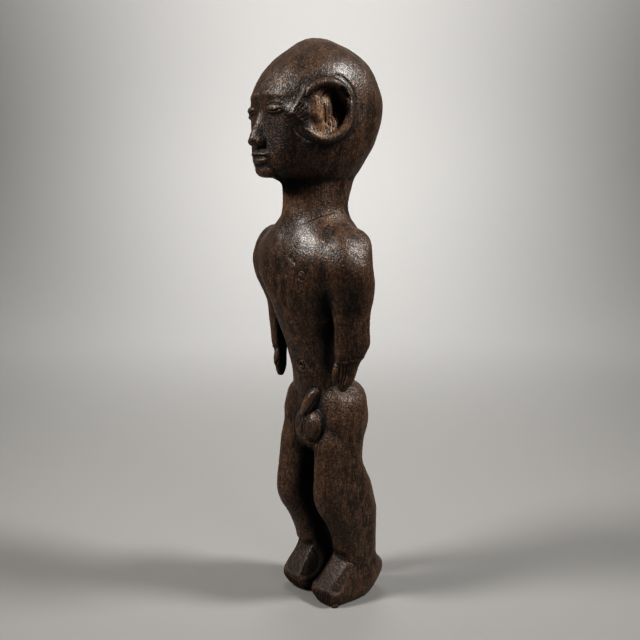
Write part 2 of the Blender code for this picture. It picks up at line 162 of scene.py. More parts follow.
HEAD_LINES = [
    # between the lips
    Line(1.3, ((-25, 150, 799), (-12, 158, 799.5), (0, 160, 800), (12, 158, 799.5), (25, 150, 799))),
]
HEAD_PAIRED_LINES = [
    # between the lids, and the fold over them
    Line(1.3, ((20, 150, 876), (30, 150, 873.5), (40, 147, 873), (49, 143, 874.5), (57, 136, 877))),
    Line(1.0, ((21, 150, 882), (30, 149, 886), (40, 146, 887), (50, 140, 885), (58, 134, 881))),
    # outside the rolled edge of the ear
    Line(1.6, ((84, 66, 932), (88, 46, 929), (91, 30, 917), (92, 20, 900), (92, 17, 882))),
    # the hatching on the flat in front of the ear
    Line(1.2, ((77, 131, 868), (80, 124, 876), (82, 118, 885))),
    Line(1.2, ((77, 129, 863), (81, 121, 873), (83, 113, 883))),
    Line(1.2, ((78, 127, 860), (82, 117, 868), (84, 109, 877))),
    Line(1.1, ((79, 124, 857), (82, 114, 862), (84, 106, 868))),
    Line(1.1, ((80, 120, 853), (82, 112, 856), (83, 105, 860))),
    # gouge marks in the bowl of the ear
    Line(1.2, ((84, 78, 886), (82, 76, 872), (84, 75, 858), (85, 76, 842))),
    Line(1.2, ((80, 71, 878), (82, 69, 866), (84, 68, 850), (85, 70, 838))),
    Line(1.2, ((78, 64, 870), (82, 61, 860), (84, 60, 846))),
    Line(1.2, ((78, 57, 866), (81, 53, 856), (83, 51, 846))),
    Line(1.1, ((86, 98, 848), (86, 96, 840), (86, 93, 833))),
    Line(1.1, ((86, 92, 846), (86, 89, 838), (86, 86, 832))),
    # the crease under that flat
    Line(1.8, ((69, 125, 846), (76, 112, 832), (82, 98, 823))),
]
BODY_LINES = [
    # the crease round the foot of the neck
    Line(1.2, (
        (22, 104, 684), (34, 97, 688), (44, 87, 694), (51, 73, 700), (57, 56, 705), (59, 35, 707),
    )),
    # the ring round the navel
    Line(1.4, ring(3, 78, 440, 9, 10)),
    # the slit and the pits in the chest
    Line(1.9, ((-38, 117, 628), (-38, 117, 619), (-39, 117, 610))),
    Line(1.9, ((25, 117, 638), (25, 117, 629))),
    Line(2.0, ((35, 117, 632), (36, 117, 623))),
    # beside the shaft, round the egg shape and round the pouch
    Line(1.6, ((38, 64, 392), (33, 72, 376), (26, 76, 362), (17, 80, 350), (9, 82, 340))),
    Line(1.5, (
        (14, 80, 352), (11, 82, 333), (14, 82, 314), (24, 80, 304), (38, 76, 303), (49, 70, 314),
    )),
    Line(1.2, (
        (-24, 64, 352), (-31, 62, 330), (-26, 62, 305), (-8, 62, 289), (14, 64, 285), (34, 64, 292),
    )),
]
BODY_PAIRED_LINES = [
    # the crease of the elbow
    Line(0.8, ((91, 72, 521), (99, 70, 522), (108, 64, 523), (114, 57, 521))),
    # the ring round the nipple
    Line(0.8, ring(50, 108, 605, 8, 8)),
    # between the fingers, and the fork of the thumb
    Line(1.15, ((91.9, 63, 452), (90.5, 64, 433), (89, 63, 416))),
    Line(1.15, ((97.2, 60, 452), (94.2, 59, 433), (91, 60, 415))),
    Line(1.15, ((101.5, 56, 452), (97.1, 55, 433), (93, 58, 414))),
    Line(1.4, ((78, 64, 436), (81, 66, 428), (85, 66, 418))),
    # chips along the front of the foot
    *(
        Line(2.1, ((side, 68, 25 + 3 * math.sin(side)), (side + 0.6, 67, 13), (side, 64, 3)))
        for side in range(24, 72, 6)
    ),
    # the crease of the ankle
    Line(1.5, ((24, 18, 78), (31, 24, 81), (44, 26, 82), (56, 25, 81), (68, 18, 77), (74, 8, 71))),
]
RAISED_PAIRED_LINES = [
    # the step at the wrist
    Line(2.2, (
        (80, 67, 457), (89, 65, 457), (97, 61, 457), (108, 51, 459), (115, 37, 463), (117, 26, 464),
    )),
]

# Where the forms are small and need finer faces: the least and the greatest side, ahead and
# height. A paired region lies on both sides of the figure.
Region = namedtuple("Region", "sides aheads heights paired")
FAR = 1000
FACE_REGION = Region((-72, 72), (118, FAR), (768, 912), False)
BODY_REGIONS = [
    # the hands, the groin, the navel, the nipples and the feet
    Region((72, FAR), (-FAR, FAR), (397, 466), True),
    Region((-34, 54), (52, FAR), (282, 404), False),
    Region((-10, 14), (60, FAR), (425, 449), False),
    Region((39, 61), (90, FAR), (594, 616), True),
    Region((-FAR, FAR), (16, FAR), (3, 84), False),
]
FINE_EAR_AHEAD = 76
FINE_EAR_HEIGHT = 876
FINE_EAR_RADIUS = 58

# How the skin is worn, and how far from a line its faces are split once more.
SAME_CORNER = 1e-6
WEAR_STEP = 0.5
LINE_SPLIT_REACH = 0.0011

# A lump or hollow shapes the skin that doesn't look away from its direction by more than this
# and lies within so many half thicknesses of its middle. Its ends are rounded by this much.
LOOKS_AWAY = -0.25
PEBBLE_REACH = 2.5
PEBBLE_ROUNDING = 1.2

# A flat takes off at most this much, from what looks its way, and fades out in its last quarter.
FLAT_DEEPEST = 14
FLAT_LOOKS = 0.2
FLAT_FADE = 4

# The flat triangle lifts what lies at most this far from it and has rounded edges.
PLATE_REACH = 16
PLATE_EDGE = 1.6
PLATE_ROUNDING = 0.8

# How the knife cuts lie and how much of them the finely carved places lose.
KNIFE_STRETCH = (1.0, 1.0, 0.55)
KNIFE_SMOOTHNESS = 0.2
KNIFE_LEVEL = 0.25
FINE_PLACES_LOSE = 0.85
FINE_PLACES_FADE = 12

# How the incised and raised lines are laid: the step along them, how much wider than the
# line the slope at its sides is, how they thin towards their ends, and the depth of a raised
# line in its own half widths. The least width only keeps a division from nought.
LINE_STEP = 0.0002
LINE_SLOPE = 1.6
LINE_THINS_BY = 0.7
LINE_THINS_LATE = 5
LINE_THINNEST = 0.3
LEAST_WIDTH = 1e-6
RIDGE_DEPTH = -0.7

# How many times the surface is evened out to find wide and narrow hollows.
WIDE_PASSES = 60
NARROW_PASSES = 4

# How the enclosed places, which are painted dark as shade and patina, are found: by rays from
# points this far apart, this many of them and this long.
SHELTER_GRID = 0.0035
SHELTER_RAYS = 24
SHELTER_REACH = 0.07
SHELTER_START = 0.6
SHELTER_FAR_COUNTS = 0.5
SHELTER_NEIGHBOURS = 4
SHELTER_NEAREST = 0.0005
SHELTER_FADE = 6

# How fine the marks in the wood are, per metre, and how the grain draws them out upward.
GRAIN_STRETCH = (1.0, 1.0, 0.2)
LEATHER_STRETCH = (1.0, 1.0, 0.8)
PORE_SCALE = 1050.0
FIBRE_SCALE = 620.0
SPECK_SCALE = 760.0
MOTTLE_SCALE = 110.0
GRIT_SCALE = 650.0
LEATHER_SCALE = 900.0
COAT_ROUGHNESS = 0.42
WOOD_GLOSS = 0.4
BUMP_STRENGTH = 0.7
BUMP_HEIGHT = 0.0006

# A listed place counts on both sides of the figure. It is at its full share over the first
# part of its reach and fades from there.
SHARE_FADE = 1.4

# Where handling has polished the wood: a place, a reach and a share.
POLISHED_PLACES = [
    (60, 112, 838, 52, 1.0),
    (76, 44, 938, 34, 0.7),
    (52, 98, 652, 54, 0.8),
    (105, 62, 652, 32, 0.8),
    (14, 80, 368, 40, 1.0),
]

# Painted shade, where the arms shade the flanks, under the chin, between the legs and on the
# tops of the feet: a place, a reach and a share.
PAINTED_SHADE_PLACES = [
    (70, 80, 570, 22, 1.0),
    (64, 64, 545, 32, 1.0),
    (58, 56, 505, 34, 1.0),
    (54, 40, 460, 36, 1.0),
    (22, 100, 764, 34, 1.0),
    (12, 10, 300, 40, 0.8),
    (46, 58, 34, 44, 0.45),
]

# Where the dark surface has worn through to browner wood, and painted light on the neck: a place,
# a reach and a share.
BARE_AND_LIT_PLACES = [
    (88, 90, 890, 17, 1.0),
    (88, 88, 868, 19, 1.0),
    (88, 86, 846, 22, 1.0),
    (84, 74, 892, 16, 0.8),
    (86, 62, 852, 24, 0.8),
    (95, 46, 850, 20, 0.5),
    (14, 82, 374, 24, 0.3),
    (40, 20, 6, 60, 0.18),
    # painted light: the neck is painted lighter where the light falls on it
    (20, 72, 735, 46, 0.50),
    (55, 45, 700, 34, 0.35),
]

# The floor: the bend and the wall beyond its flat part, and how finely it is made.
FLOOR_BEND = 0.9
WALL_HEIGHT = 1.6
FLOOR_SIDES = 96
FLOOR_RINGS = 12
BEND_RINGS = 17
FLOOR_ROUGHNESS = 0.9

# The camera stands to the figure's left front and looks a little down.
CAMERA_PLACE = (0.48645, -0.40359, 0.30821)
CAMERA_AZIMUTH = math.radians(50.0)
CAMERA_DIP = math.radians(9.15)
SENSOR_WIDTH = 36.0

# The middle of the figure, which the lamps round it are aimed at.
MIDDLE_HEIGHT = 0.2
WORLD_COLOUR = (0.95, 0.97, 1.0, 1)
WORLD_STRENGTH = 0.03


def to_layout(points):
    """Points in metres as sides, aheads and heights."""
    side = points[:, 0] / THOUSANDTH
    ahead = (FEET_LINE_Y - points[:, 1]) / THOUSANDTH
    return np.column_stack([side, ahead, points[:, 2] / THOUSANDTH])


def from_layout(places):
    """Sides, aheads and heights as points in metres."""
    x = places[:, 0] * THOUSANDTH
    y = FEET_LINE_Y - places[:, 1] * THOUSANDTH
    return np.column_stack([x, y, places[:, 2] * THOUSANDTH])


def turned(places, angle, centre_ahead):
    """Places or directions turned about an upright line."""
    x = places[:, 0]
    y = centre_ahead - places[:, 1]
    turned_x = x * math.cos(angle) - y * math.sin(angle)
    turned_y = x * math.sin(angle) + y * math.cos(angle)
    return np.column_stack([turned_x, centre_ahead - turned_y, places[:, 2]])


def mirrored_pebble(pebble):
    across, forward, upward = pebble.length_way
    out_across, out_forward, out_upward = pebble.out_way
    return pebble._replace(
        side=-pebble.side,
        length_way=(-across, forward, upward),
        out_way=(-out_across, out_forward, out_upward),
    )


def mirrored_line(line):
    return line._replace(places=tuple((-side, ahead, up) for side, ahead, up in line.places))


def both_sides(items, mirror):
    return items + [mirror(item) for item in items]


class FigureSettings(bpy.types.PropertyGroup):
    skin_size: bpy.props.FloatProperty(
        name="Skin Size", description="Size of the faces of the carved skin",
        default=0.0016, min=0.0005, unit="LENGTH",
    )
    softening: bpy.props.FloatProperty(
        name="Softening", description="How far the facets of the solid are worn, in facet sizes",
        default=0.40, min=0.0, subtype="FACTOR",
    )
    cut_width: bpy.props.FloatProperty(
        name="Cut Width", description="Width of one knife cut left on the wood",
        default=0.011, min=0.001, unit="LENGTH",
    )
    cut_depth: bpy.props.FloatProperty(
        name="Cut Depth", description="Depth of one knife cut left on the wood",
        default=0.00045, min=0.0, unit="LENGTH",
    )
    line_depth: bpy.props.FloatProperty(
        name="Line Depth", description="Depth of an incised line, in its own half widths",
        default=1.3, min=0.0, subtype="FACTOR",
    )
    seed: bpy.props.IntProperty(
        name="Seed", description="Number that the places of the knife cuts come from", default=7,
    )


class WoodSettings(bpy.types.PropertyGroup):
    heart: bpy.props.FloatVectorProperty(
        name="Heartwood", description="Colour of the plain wood", subtype="COLOR",
        size=4, min=0, max=1, default=(0.016, 0.0083, 0.0048, 1),
    )
    worn: bpy.props.FloatVectorProperty(
        name="Worn Wood", description="Colour where handling has worn the wood", subtype="COLOR",
        size=4, min=0, max=1, default=(0.096, 0.053, 0.030, 1),
    )
    # also the colour of the painted light on the neck
    bare_and_painted_light: bpy.props.FloatVectorProperty(
        name="Bare Wood", description="Colour where the dark surface is gone", subtype="COLOR",
        size=4, min=0, max=1, default=(0.26, 0.15, 0.08, 1),
    )
    # also the colour of the painted shade in hollows and creases and in enclosed and listed places
    patina_and_painted_shade: bpy.props.FloatVectorProperty(
        name="Patina", description="Colour of the dark patina in sheltered places",
        subtype="COLOR", size=4, min=0, max=1, default=(0.0035, 0.0022, 0.0018, 1),
    )


class StageSettings(bpy.types.PropertyGroup):
    floor_colour: bpy.props.FloatVectorProperty(
        name="Floor", description="Colour of the floor and the backdrop", subtype="COLOR",
        size=4, min=0, max=1, default=(0.20, 0.1955, 0.189, 1),
    )
    floor_radius: bpy.props.FloatProperty(
        name="Floor Radius", description="Radius of the flat part of the floor",
        default=1.1, min=0.5, unit="LENGTH",
    )
    lens: bpy.props.FloatProperty(
        name="Lens", description="Focal length of the camera", default=50.625, unit="CAMERA",
    )


class Value:
    """One output socket, with the arithmetic of shader and geometry maths."""

    def __init__(self, wires, socket):
        self.wires = wires
        self.socket = socket

    def maths(self, operation, *others):
        """The result of a Math node on this value and the others."""
        inputs = dict(enumerate((self, *others)))
        return self.wires.node("ShaderNodeMath", {"operation": operation}, inputs)

    def reflected(self, operation, other):
        """The result of a Math node with this value second."""
        return self.wires.node("ShaderNodeMath", {"operation": operation}, {0: other, 1: self})

    def __add__(self, other):
        return self.maths("ADD", other)

    __radd__ = __add__

    def __sub__(self, other):
        return self.maths("SUBTRACT", other)

    def __rsub__(self, other):
        return self.reflected("SUBTRACT", other)

    def __neg__(self):
        return self * -1.0

    def __mul__(self, other):
        return self.maths("MULTIPLY", other)

    __rmul__ = __mul__

    def __truediv__(self, other):
        return self.maths("DIVIDE", other)

    def __rtruediv__(self, other):
        return self.reflected("DIVIDE", other)

    def at_least(self, other):
        return self.maths("MAXIMUM", other)

    def at_most(self, other):
        return self.maths("MINIMUM", other)

    def between(self, low, high, from_value=0.0, to_value=1.0):
        """A smooth step from one value to the other as this one goes from low to high."""
        inputs = {0: self, 1: low, 2: high, 3: from_value, 4: to_value}
        settings = {"interpolation_type": "SMOOTHSTEP"}
        return self.wires.node("ShaderNodeMapRange", settings, inputs)


class Wires:
    """Adds nodes to one tree and joins them up."""

    def __init__(self, tree):
        self.tree = tree

    def node(self, kind, settings=None, inputs=None, output=0):
        made = self.tree.nodes.new(kind)
        for name, value in (settings or {}).items():
            setattr(made, name, value)
        for name, value in (inputs or {}).items():
            self.join(value, made.inputs[name])
        return Value(self, made.outputs[output])

    def join(self, value, socket):
        if isinstance(value, Value):
            self.tree.links.new(value.socket, socket)
        else:
            socket.default_value = value

    def vectors(self, operation, *inputs, output=0):
        settings = {"operation": operation}
        return self.node("ShaderNodeVectorMath", settings, dict(enumerate(inputs)), output)

    def mixed(self, share, first, second, blend="MIX"):
        """One colour laid over another by a share from 0 to 1."""
        settings = {"data_type": "RGBA", "blend_type": blend, "clamp_factor": True}
        return self.node("ShaderNodeMix", settings, {0: share, 6: first, 7: second}, output=2)

    def noise(self, vector, scale, detail=2.0, roughness=0.5):
        inputs = {"Vector": vector, "Scale": scale, "Detail": detail, "Roughness": roughness}
        return self.node("ShaderNodeTexNoise", {}, inputs)

    def cells(self, vector, scale, feature="F1"):
        inputs = {"Vector": vector, "Scale": scale}
        return self.node("ShaderNodeTexVoronoi", {"feature": feature}, inputs)

    def attribute(self, name):
        return self.node("ShaderNodeAttribute", {"attribute_name": name}, {}, output="Fac")


def linked_object(name, data):
    thing = bpy.data.objects.new(name, data)
    bpy.context.scene.collection.objects.link(thing)
    return thing


def remove_object(thing):
    bpy.data.objects.remove(thing, do_unlink=True)


def plain_mesh(thing, name):
    """The evaluated object as a mesh of its own."""
    graph = bpy.context.evaluated_depsgraph_get()
    mesh = bpy.data.meshes.new_from_object(thing.evaluated_get(graph))
    mesh.name = name
    return mesh


def mesh_points(mesh):
    points = np.empty(len(mesh.vertices) * 3)
    mesh.vertices.foreach_get("co", points)
    return points.reshape(-1, 3)


def mesh_normals(mesh):
    normals = np.empty(len(mesh.vertices) * 3)
    mesh.vertices.foreach_get("normal", normals)
    return normals.reshape(-1, 3)


def set_mesh_points(mesh, points):
    mesh.vertices.foreach_set("co", points.ravel())
    mesh.update()


def merged_copy(node):
    """The solid's own triangles with their shared corners joined, as a new mesh."""
    work = bmesh.new()
    work.from_mesh(node.data)
    bmesh.ops.remove_doubles(work, verts=work.verts, dist=SAME_CORNER)
    mesh = bpy.data.meshes.new("solid_copy")
    work.to_mesh(mesh)
    work.free()
    return mesh


def mesh_surface(mesh):
    corners = [vertex.co for vertex in mesh.vertices]
    return BVHTree.FromPolygons(corners, [face.vertices for face in mesh.polygons])


def neighbour_mean(mesh, points):
    """For each point, the mean of the points that it shares an edge with."""
    ends = np.empty(len(mesh.edges) * 2, np.int64)
    mesh.edges.foreach_get("vertices", ends)
    first, second = ends.reshape(-1, 2).T
    count = np.bincount(first, minlength=len(points)) + np.bincount(second, minlength=len(points))
    total = np.empty_like(points)
    for axis in range(3):
        values = points[:, axis]
        total[:, axis] = np.bincount(first, values[second], len(points))
        total[:, axis] += np.bincount(second, values[first], len(points))
    return total / count[:, None]


def facet_sizes(mesh, solid):
    """For each point, the size of the facet of the solid that it lies on."""
    surface = mesh_surface(solid)
    areas = np.array([face.area for face in solid.polygons])
    nearest = [surface.find_nearest(vertex.co)[2] for vertex in mesh.vertices]
    return np.sqrt(areas[nearest])


def wear_facets(mesh, solid, skin_size, softening):
    """Wear the facets of the solid, more where they are larger."""
    wanted = softening * facet_sizes(mesh, solid)
    passes = (wanted / skin_size) ** 2 * 4
    points = mesh_points(mesh)
    for step in range(int(math.ceil(passes.max()))):
        share = np.clip(passes - step, 0, 1)[:, None]
        points += WEAR_STEP * share * (neighbour_mean(mesh, points) - points)
    set_mesh_points(mesh, points)


def skin_mesh(node, skin_size, softening):
    """A fine even skin over the solid, with its facets worn smooth."""
    solid = merged_copy(node)
    holder = linked_object("skin_holder", solid)
    step = holder.modifiers.new("skin", "REMESH")
    step.mode = "VOXEL"
    step.voxel_size = skin_size
    skin = plain_mesh(holder, "carved_skin")
    wear_facets(skin, solid, skin_size, softening)
    remove_object(holder)
    return skin


def face_middles(mesh):
    middles = np.empty(len(mesh.polygons) * 3)
    mesh.polygons.foreach_get("center", middles)
    return middles.reshape(-1, 3)


def refined(mesh, wanted):
    """Split the wanted faces into four."""
    work = bmesh.new()
    work.from_mesh(mesh)
    work.faces.ensure_lookup_table()
    for face, split in zip(work.faces, wanted):
        face.tag = bool(split)
    edges = [edge for edge in work.edges if any(face.tag for face in edge.link_faces)]
    bmesh.ops.subdivide_edges(work, edges=edges, cuts=1, use_grid_fill=True)
    work.to_mesh(mesh)
    work.free()
    return mesh


def within(places, region):
    """Whether each place lies in a region."""
    sides = np.abs(places[:, 0]) if region.paired else places[:, 0]
    inside = np.ones(len(places), bool)
    for values, limits in zip((sides, *places[:, 1:].T), region[:3]):
        inside &= (values > limits[0]) & (values < limits[1])
    return inside


def detailed_places(middles):
    """Whether each place needs finer faces: the face, the ears, the hands and such."""
    places = to_layout(middles)
    head = turned(places, -HEAD_TURN, HEAD_AXIS_AHEAD)
    ear_ahead = (head[:, 1] - FINE_EAR_AHEAD) / FINE_EAR_RADIUS
    ear_height = (head[:, 2] - FINE_EAR_HEIGHT) / FINE_EAR_RADIUS
    fine = (ear_ahead**2 + ear_height**2 < 1) & (np.abs(head[:, 0]) > EAR_INNERMOST)
    fine |= within(head, FACE_REGION)
    for region in BODY_REGIONS:
        fine |= within(places, region)
    return fine


def unit(vector):
    vector = np.array(vector, float)
    return vector / np.linalg.norm(vector)


def pebble_shape(places, pebble):
    """For each place, its rise over the pebble's middle and the pebble's own half rise there."""
    along = unit(pebble.length_way)
    across = unit(np.cross(unit(pebble.out_way), along))
    out = np.cross(along, across)
    out *= np.sign(out @ unit(pebble.out_way))
    reach = places - (pebble.side, pebble.ahead, pebble.height)
    spread = (reach @ along / pebble.half_length) ** 2 + (reach @ across / pebble.half_width) ** 2
    rise = reach @ out
    thickness = pebble.half_thickness * np.sqrt(np.clip(1 - spread, 0, None))
    near = (spread < 1) & (np.abs(rise) < PEBBLE_REACH * pebble.half_thickness)
    return out, rise, thickness, near


def soft_excess(gap, blend):
    """The part of a gap above nought, with the corner at nought rounded."""
    return 0.5 * (gap + np.sqrt(gap * gap + blend * blend))


def raise_lump(places, facing, pebble):
    out, rise, thickness, near = pebble_shape(places, pebble)
    near &= facing @ out > LOOKS_AWAY
    lift = soft_excess(thickness - rise, PEBBLE_ROUNDING)
    places[near] += lift[near, None] * out


def sink_hollow(places, facing, pebble):
    out, rise, thickness, near = pebble_shape(places, pebble)
    near &= facing @ out > LOOKS_AWAY
    drop = soft_excess(rise + thickness, PEBBLE_ROUNDING)
    places[near] -= drop[near, None] * out


def cut_flat(places, facing, flat):
    """Take off what stands above a flat, near the flat's point."""
    out = unit(flat.out_way)
    offset = places - (flat.side, flat.ahead, flat.height)
    rise = offset @ out
    apart = np.linalg.norm(offset - rise[:, None] * out, axis=1)
    near = (rise > -3 * flat.rounding) & (rise < FLAT_DEEPEST)
    near &= (apart < flat.reach) & (facing @ out > FLAT_LOOKS)
    fade = np.clip(FLAT_FADE - FLAT_FADE * apart / flat.reach, 0, 1)
    drop = soft_excess(rise, flat.rounding) * fade
    places[near] -= drop[near, None] * out


def raise_plate(places, facing, corners):
    """Raise the surface to a flat triangle over it, with a step at the triangle's sides."""
    corners = np.array(corners, float)
    out = unit(np.cross(corners[1] - corners[0], corners[2] - corners[0]))
    out *= np.sign(out[0] * corners[0, 0])
    rise = (places - corners[0]) @ out
    inside = np.full(len(places), np.inf)
    for k in range(3):
        start, end, other = corners[k], corners[(k + 1) % 3], corners[(k + 2) % 3]
        inward = unit(np.cross(out, end - start))
        inward *= np.sign((other - start) @ inward)
        inside = np.minimum(inside, (places - start) @ inward)
    near = (inside > -PLATE_EDGE) & (np.abs(rise) < PLATE_REACH) & (facing @ out > 0)
    fade = np.clip(0.5 + 0.5 * inside / PLATE_EDGE, 0, 1)
    lift = soft_excess(-rise, PLATE_ROUNDING) * fade
    places[near] += lift[near, None] * out


def raise_ear_rim(places, facing, hand):
    """Round the rolled edge of one ear over the surface that is there."""
    angles = np.radians(np.linspace(EAR_OPENS, EAR_CLOSES, EAR_RIM_STEPS))
    share = np.linspace(-1, 1, len(angles))
    radii = EAR_RIM_RADIUS * (1 - EAR_RIM_THINS_BY * np.abs(share) ** EAR_RIM_THINS_LATE)
    ahead = EAR_AHEAD + EAR_HALF_LENGTH * np.cos(angles)
    height = EAR_HEIGHT + EAR_HALF_HEIGHT * np.sin(angles) - EAR_LEAN * (ahead - EAR_AHEAD)
    near = (places[:, 0] * hand > EAR_INNERMOST) & (facing[:, 0] * hand > -0.3)
    near &= np.abs(places[:, 1] - EAR_AHEAD) < EAR_REACH
    near &= np.abs(places[:, 2] - EAR_HEIGHT) < EAR_REACH
    index = np.nonzero(near)[0]
    here = places[index]
    gap = np.hypot(here[:, 1, None] - ahead, here[:, 2, None] - height)
    nearest = gap.argmin(axis=1)
    distance = gap[np.arange(len(index)), nearest]
    crest = np.zeros(len(ahead))
    for k in range(len(ahead)):
        close = gap[:, k] < EAR_CREST_REACH
        crest[k] = np.max(here[close, 0] * hand) if close.any() else np.nan
    known = ~np.isnan(crest)
    crest = np.interp(np.arange(len(crest)), np.nonzero(known)[0], crest[known])
    evened = np.ones(EAR_CREST_SPAN) / EAR_CREST_SPAN
    crest = np.convolve(np.pad(crest, EAR_CREST_SPAN // 2, "edge"), evened, "valid")
    radius = radii[nearest]
    round_top = np.sqrt(np.clip(radius**2 - distance**2, 0, None))
    top = crest[nearest] + EAR_RIM_PROUD - radius + round_top
    lift = np.where(distance < radius, soft_excess(top - here[:, 0] * hand, EAR_RIM_BLEND), 0)
    places[index, 0] += hand * lift


def carve_forms(mesh):
    """Sharpen the raised and sunk forms that the skin has softened."""
    places = to_layout(mesh_points(mesh))
    facing = mesh_normals(mesh) * (1, -1, 1)
    head = places[:, 2] > HEAD_FROM
    head_places = turned(places[head], -HEAD_TURN, HEAD_AXIS_AHEAD)
    head_facing = turned(facing[head], -HEAD_TURN, 0)
    for pebble in both_sides(HEAD_PAIRED_HOLLOWS, mirrored_pebble):
        sink_hollow(head_places, head_facing, pebble)
    for pebble in HEAD_LUMPS + both_sides(HEAD_PAIRED_LUMPS, mirrored_pebble):
        raise_lump(head_places, head_facing, pebble)
    for hand in (1, -1):
        raise_ear_rim(head_places, head_facing, hand)
        raise_plate(head_places, head_facing, [(hand * x, y, z) for x, y, z in EAR_PLATE])
    places[head] = turned(head_places, HEAD_TURN, HEAD_AXIS_AHEAD)
    for pebble in BODY_LUMPS + both_sides(BODY_PAIRED_LUMPS, mirrored_pebble):
        raise_lump(places, facing, pebble)
    for pebble in BODY_HOLLOWS:
        sink_hollow(places, facing, pebble)
    for flat in FLATS:
        cut_flat(places, facing, flat)
    set_mesh_points(mesh, from_layout(places))


def rounded_way(places, pieces=14):
    """A smooth way through the places, as many points."""
    knots = np.array(places, float)
    closed = np.allclose(knots[0], knots[-1])
    ends = (knots[-2], knots[1]) if closed else (2 * knots[0] - knots[1], 2 * knots[-1] - knots[-2])
    knots = np.vstack([ends[0], knots, ends[1]])
    points = []
    for k in range(1, len(knots) - 2):
        before, start, end, after = knots[k - 1:k + 3]
        for t in np.arange(pieces) / pieces:
            points.append(0.5 * (
                2 * start + (end - before) * t
                + (2 * before - 5 * start + 4 * end - after) * t**2
                + (3 * start - before - 3 * end + after) * t**3
            ))
    points.append(knots[-2])
    return np.array(points), closed


def lines_object(name, surface, body_lines, head_lines):
    """A curve object with each line laid on the surface, thinner towards its ends."""
    curve = bpy.data.curves.new(name, "CURVE")
    curve.dimensions = "3D"
    for lines, on_head in ((body_lines, False), (head_lines, True)):
        for line in lines:
            places, closed = rounded_way(line.places)
            if on_head:
                places = turned(places, HEAD_TURN, HEAD_AXIS_AHEAD)
            share = np.linspace(-1, 1, len(places))
            thin = np.ones(len(places))
            if not closed:
                thin = np.clip(1 - np.abs(share) ** LINE_THINS_LATE * LINE_THINS_BY, LINE_THINNEST, 1)
            spline = curve.splines.new("POLY")
            spline.points.add(len(places) - 1)
            for target, point, full in zip(spline.points, from_layout(places), thin):
                laid = surface.find_nearest(Vector(point))[0]
                target.co = (*laid, 1)
                target.radius = full * line.half_width * THOUSANDTH
    return linked_object(name, curve)


def near_lines(mesh, holder, reach):
    """Whether each face of a mesh lies near one of the lines."""
    points = [point.co.xyz for spline in holder.data.splines for point in spline.points]
    tree = KDTree(len(points))
    for index, point in enumerate(points):
        tree.insert(point, index)
    tree.balance()
    return [tree.find(middle)[2] < reach for middle in face_middles(mesh)]


def new_tree(name, inputs):
    """A Geometry Nodes tree with a geometry input and output and the named inputs."""
    tree = bpy.data.node_groups.new(name, "GeometryNodeTree")
    tree.interface.new_socket(name="Geometry", in_out="INPUT", socket_type="NodeSocketGeometry")
    for label, kind in inputs:
        tree.interface.new_socket(name=label, in_out="INPUT", socket_type=kind)
    tree.interface.new_socket(name="Geometry", in_out="OUTPUT", socket_type="NodeSocketGeometry")
    wires = Wires(tree)
    entry = tree.nodes.new("NodeGroupInput")
    values = {socket.name: Value(wires, socket) for socket in entry.outputs if socket.name}
    return tree, wires, values


def end_tree(wires, geometry, material):
    real = wires.node("GeometryNodeRealizeInstances", {}, {0: geometry})
    dressed = wires.node("GeometryNodeSetMaterial", {}, {"Geometry": real, "Material": material})
    leave = wires.tree.nodes.new("NodeGroupOutput")
    wires.tree.links.new(dressed.socket, leave.inputs[0])


def add_tree(thing, tree, values):
    """Put a tree on an object with its named inputs set."""
    step = thing.modifiers.new(tree.name, "NODES")
    step.node_group = tree
    for item in tree.interface.items_tree:
        if item.in_out == "INPUT" and item.name in values:
            step[item.identifier] = values[item.name]
    return step


def moved_along_normal(wires, geometry, distance):
    normal = wires.node("GeometryNodeInputNormal")
    offset = wires.node(
        "ShaderNodeVectorMath", {"operation": "SCALE"}, {0: normal, "Scale": distance}
    )
    return wires.node("GeometryNodeSetPosition", {}, {"Geometry": geometry, "Offset": offset})


def named_value(wires, name):
    settings = {"data_type": "FLOAT"}
    return wires.node("GeometryNodeInputNamedAttribute", settings, {"Name": name})


def knife_cut_tree():
    """Shallow scoops with soft ridges between them, longer along the grain."""
    inputs = [
        ("Cut Width", "NodeSocketFloat"), ("Cut Depth", "NodeSocketFloat"),
        ("Seed", "NodeSocketInt"), ("Wood", "NodeSocketMaterial"),
    ]
    tree, wires, values = new_tree("knife_cuts", inputs)
    position = wires.node("GeometryNodeInputPosition")
    along_grain = wires.vectors("MULTIPLY", position, KNIFE_STRETCH)
    scale = 1.0 / values["Cut Width"]
    scoop = wires.node(
        "ShaderNodeTexVoronoi", {"voronoi_dimensions": "4D", "feature": "SMOOTH_F1"},
        {"Vector": along_grain, "W": values["Seed"], "Scale": scale, "Smoothness": KNIFE_SMOOTHNESS},
    )
    distance = (scoop * scoop - KNIFE_LEVEL) * values["Cut Depth"] * 2.0
    distance = distance * named_value(wires, "rough_cut")
    cut = moved_along_normal(wires, values["Geometry"], distance)
    end_tree(wires, cut, values["Wood"])
    return tree


def knife_line_tree():
    """A groove, or a ridge where the depth is negative, along each curve of an object."""
    inputs = [
        ("Lines", "NodeSocketObject"), ("Depth", "NodeSocketFloat"),
        ("Wood", "NodeSocketMaterial"),
    ]
    tree, wires, values = new_tree("knife_lines", inputs)
    lines = wires.node("GeometryNodeObjectInfo", {}, {"Object": values["Lines"]}, "Geometry")
    laid = wires.node(
        "GeometryNodeCurveToPoints", {"mode": "LENGTH"}, {"Curve": lines, "Length": LINE_STEP}
    )
    nearest = wires.node("GeometryNodeSampleNearest", {}, {"Geometry": laid})
    width = wires.node(
        "GeometryNodeSampleIndex", {"data_type": "FLOAT"},
        {"Geometry": laid, "Value": wires.node("GeometryNodeInputRadius"), "Index": nearest},
    )
    distance = wires.node(
        "GeometryNodeProximity", {"target_element": "POINTS"}, {0: laid}, "Distance"
    )
    share = 1.0 - (distance / (width * LINE_SLOPE).at_least(LEAST_WIDTH)).between(0.0, 1.0)
    cut = moved_along_normal(wires, values["Geometry"], -(share * width * values["Depth"]))
    end_tree(wires, cut, values["Wood"])
    return tree


